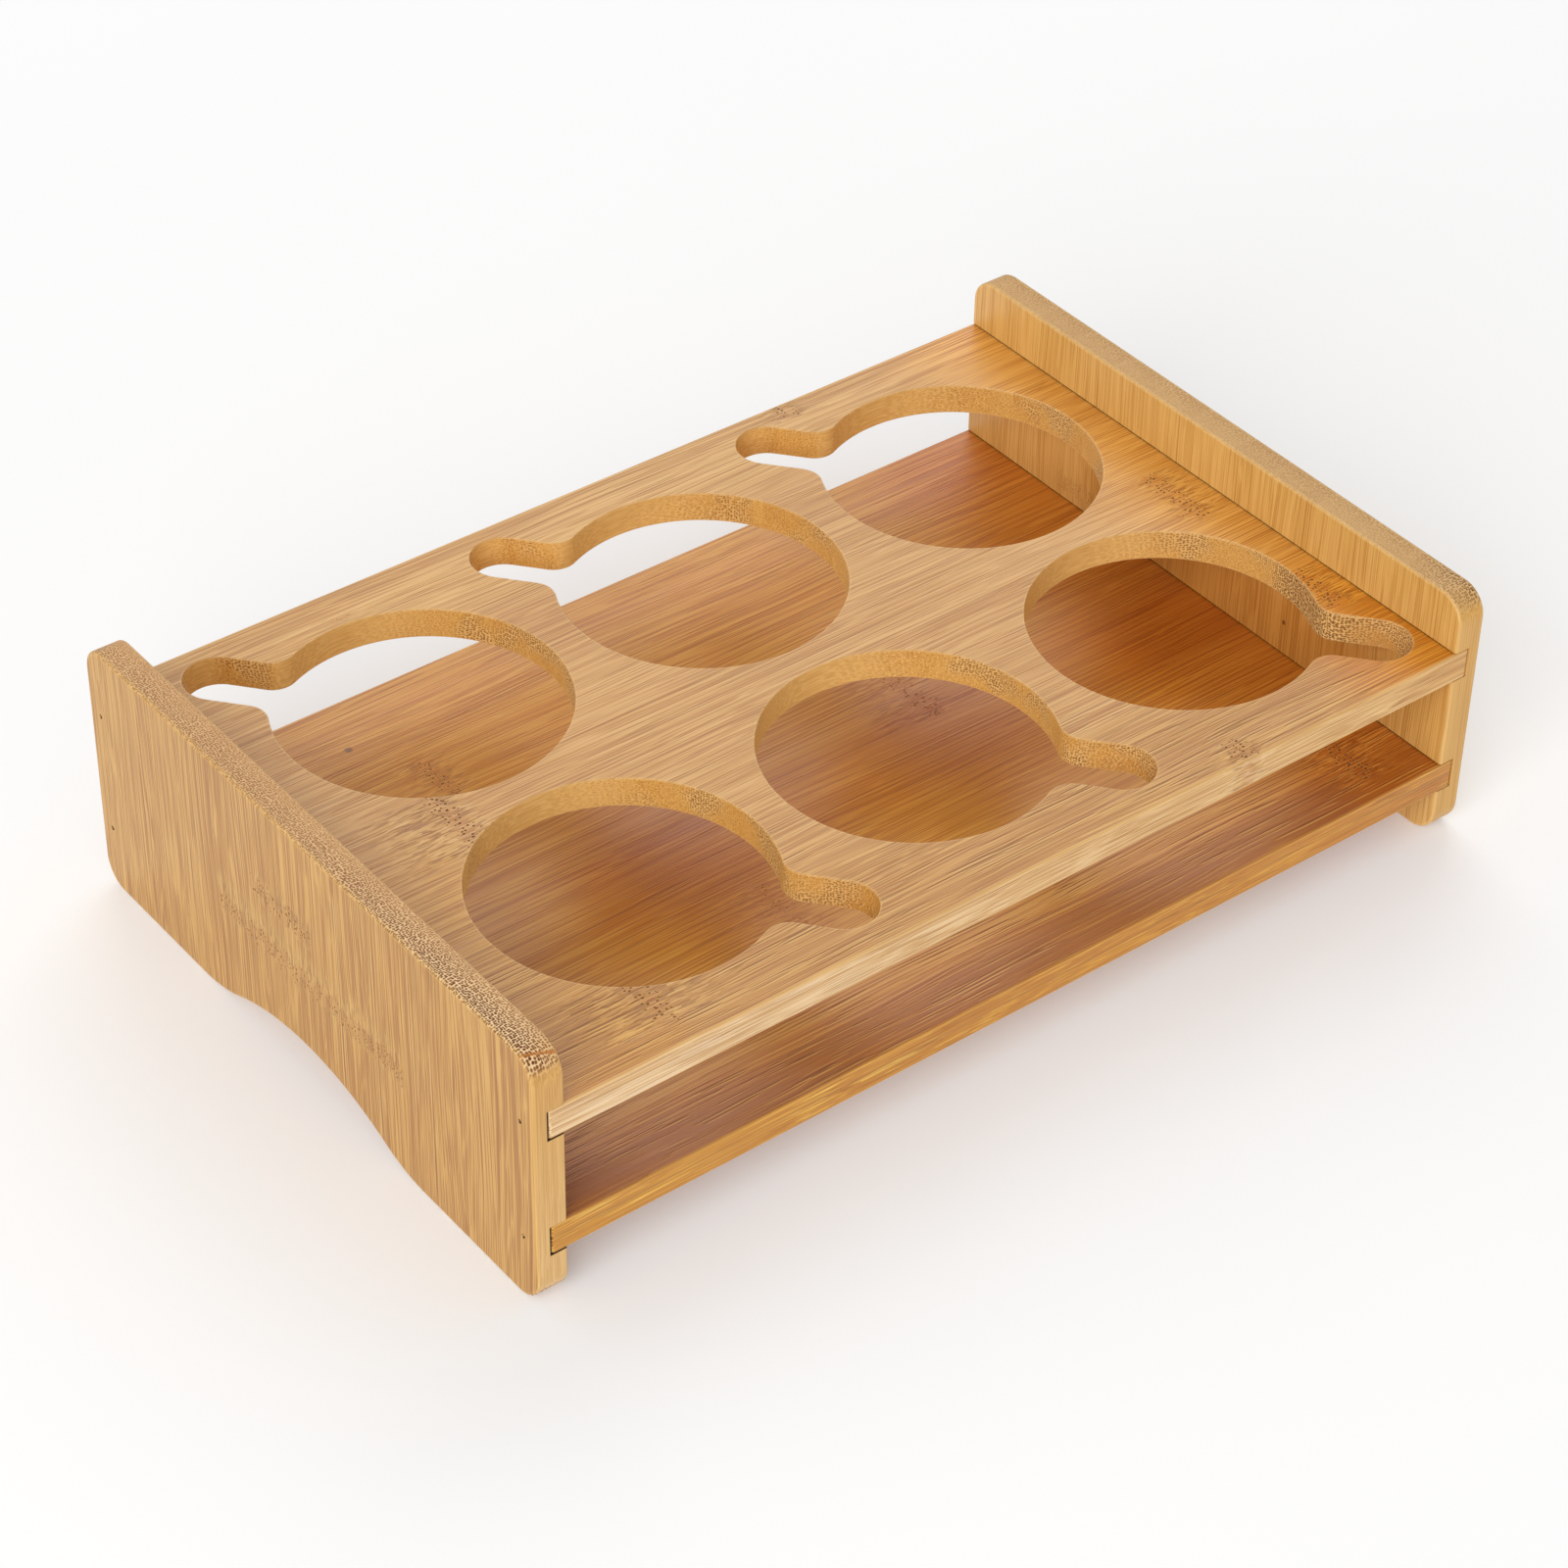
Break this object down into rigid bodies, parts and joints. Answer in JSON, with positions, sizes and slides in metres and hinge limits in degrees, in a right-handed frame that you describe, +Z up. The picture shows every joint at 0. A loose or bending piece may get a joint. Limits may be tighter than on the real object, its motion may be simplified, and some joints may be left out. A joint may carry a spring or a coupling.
{
  "type": "egg holder tray",
  "caption": "Two-tier bamboo holder: a top board with round, handle-notched holes over a plain shelf, both housed, glued and pinned into arched side boards.",
  "frame": {"origin": "on the ground under the middle of the tray, at the bottom centre of its bounding box", "axes": "+X along the length towards the right side board, +Y from the front edge to the back edge, +Z up"},
  "size_m": [0.27, 0.1764, 0.0695],
  "materials": {
    "side_bamboo": "sanded solid bamboo, clear satin oil, vertical grain, end grain on the upper edges",
    "top_bamboo": "sanded solid bamboo, clear satin oil, grain along the length, deeper tan towards the right end",
    "shelf_bamboo": "sanded solid bamboo of a redder brown, clear satin oil, grain along the length",
    "pin_steel": "plain steel wire, dull"
  },
  "bodies": {
    "root": {"left_side_board": "side_bamboo", "right_side_board": "side_bamboo", "top_board": "top_bamboo", "shelf_board": "shelf_bamboo", "left_top_pins": "pin_steel", "left_shelf_pins": "pin_steel", "right_top_pins": "pin_steel", "right_shelf_pins": "pin_steel"}
  },
  "joints": []
}
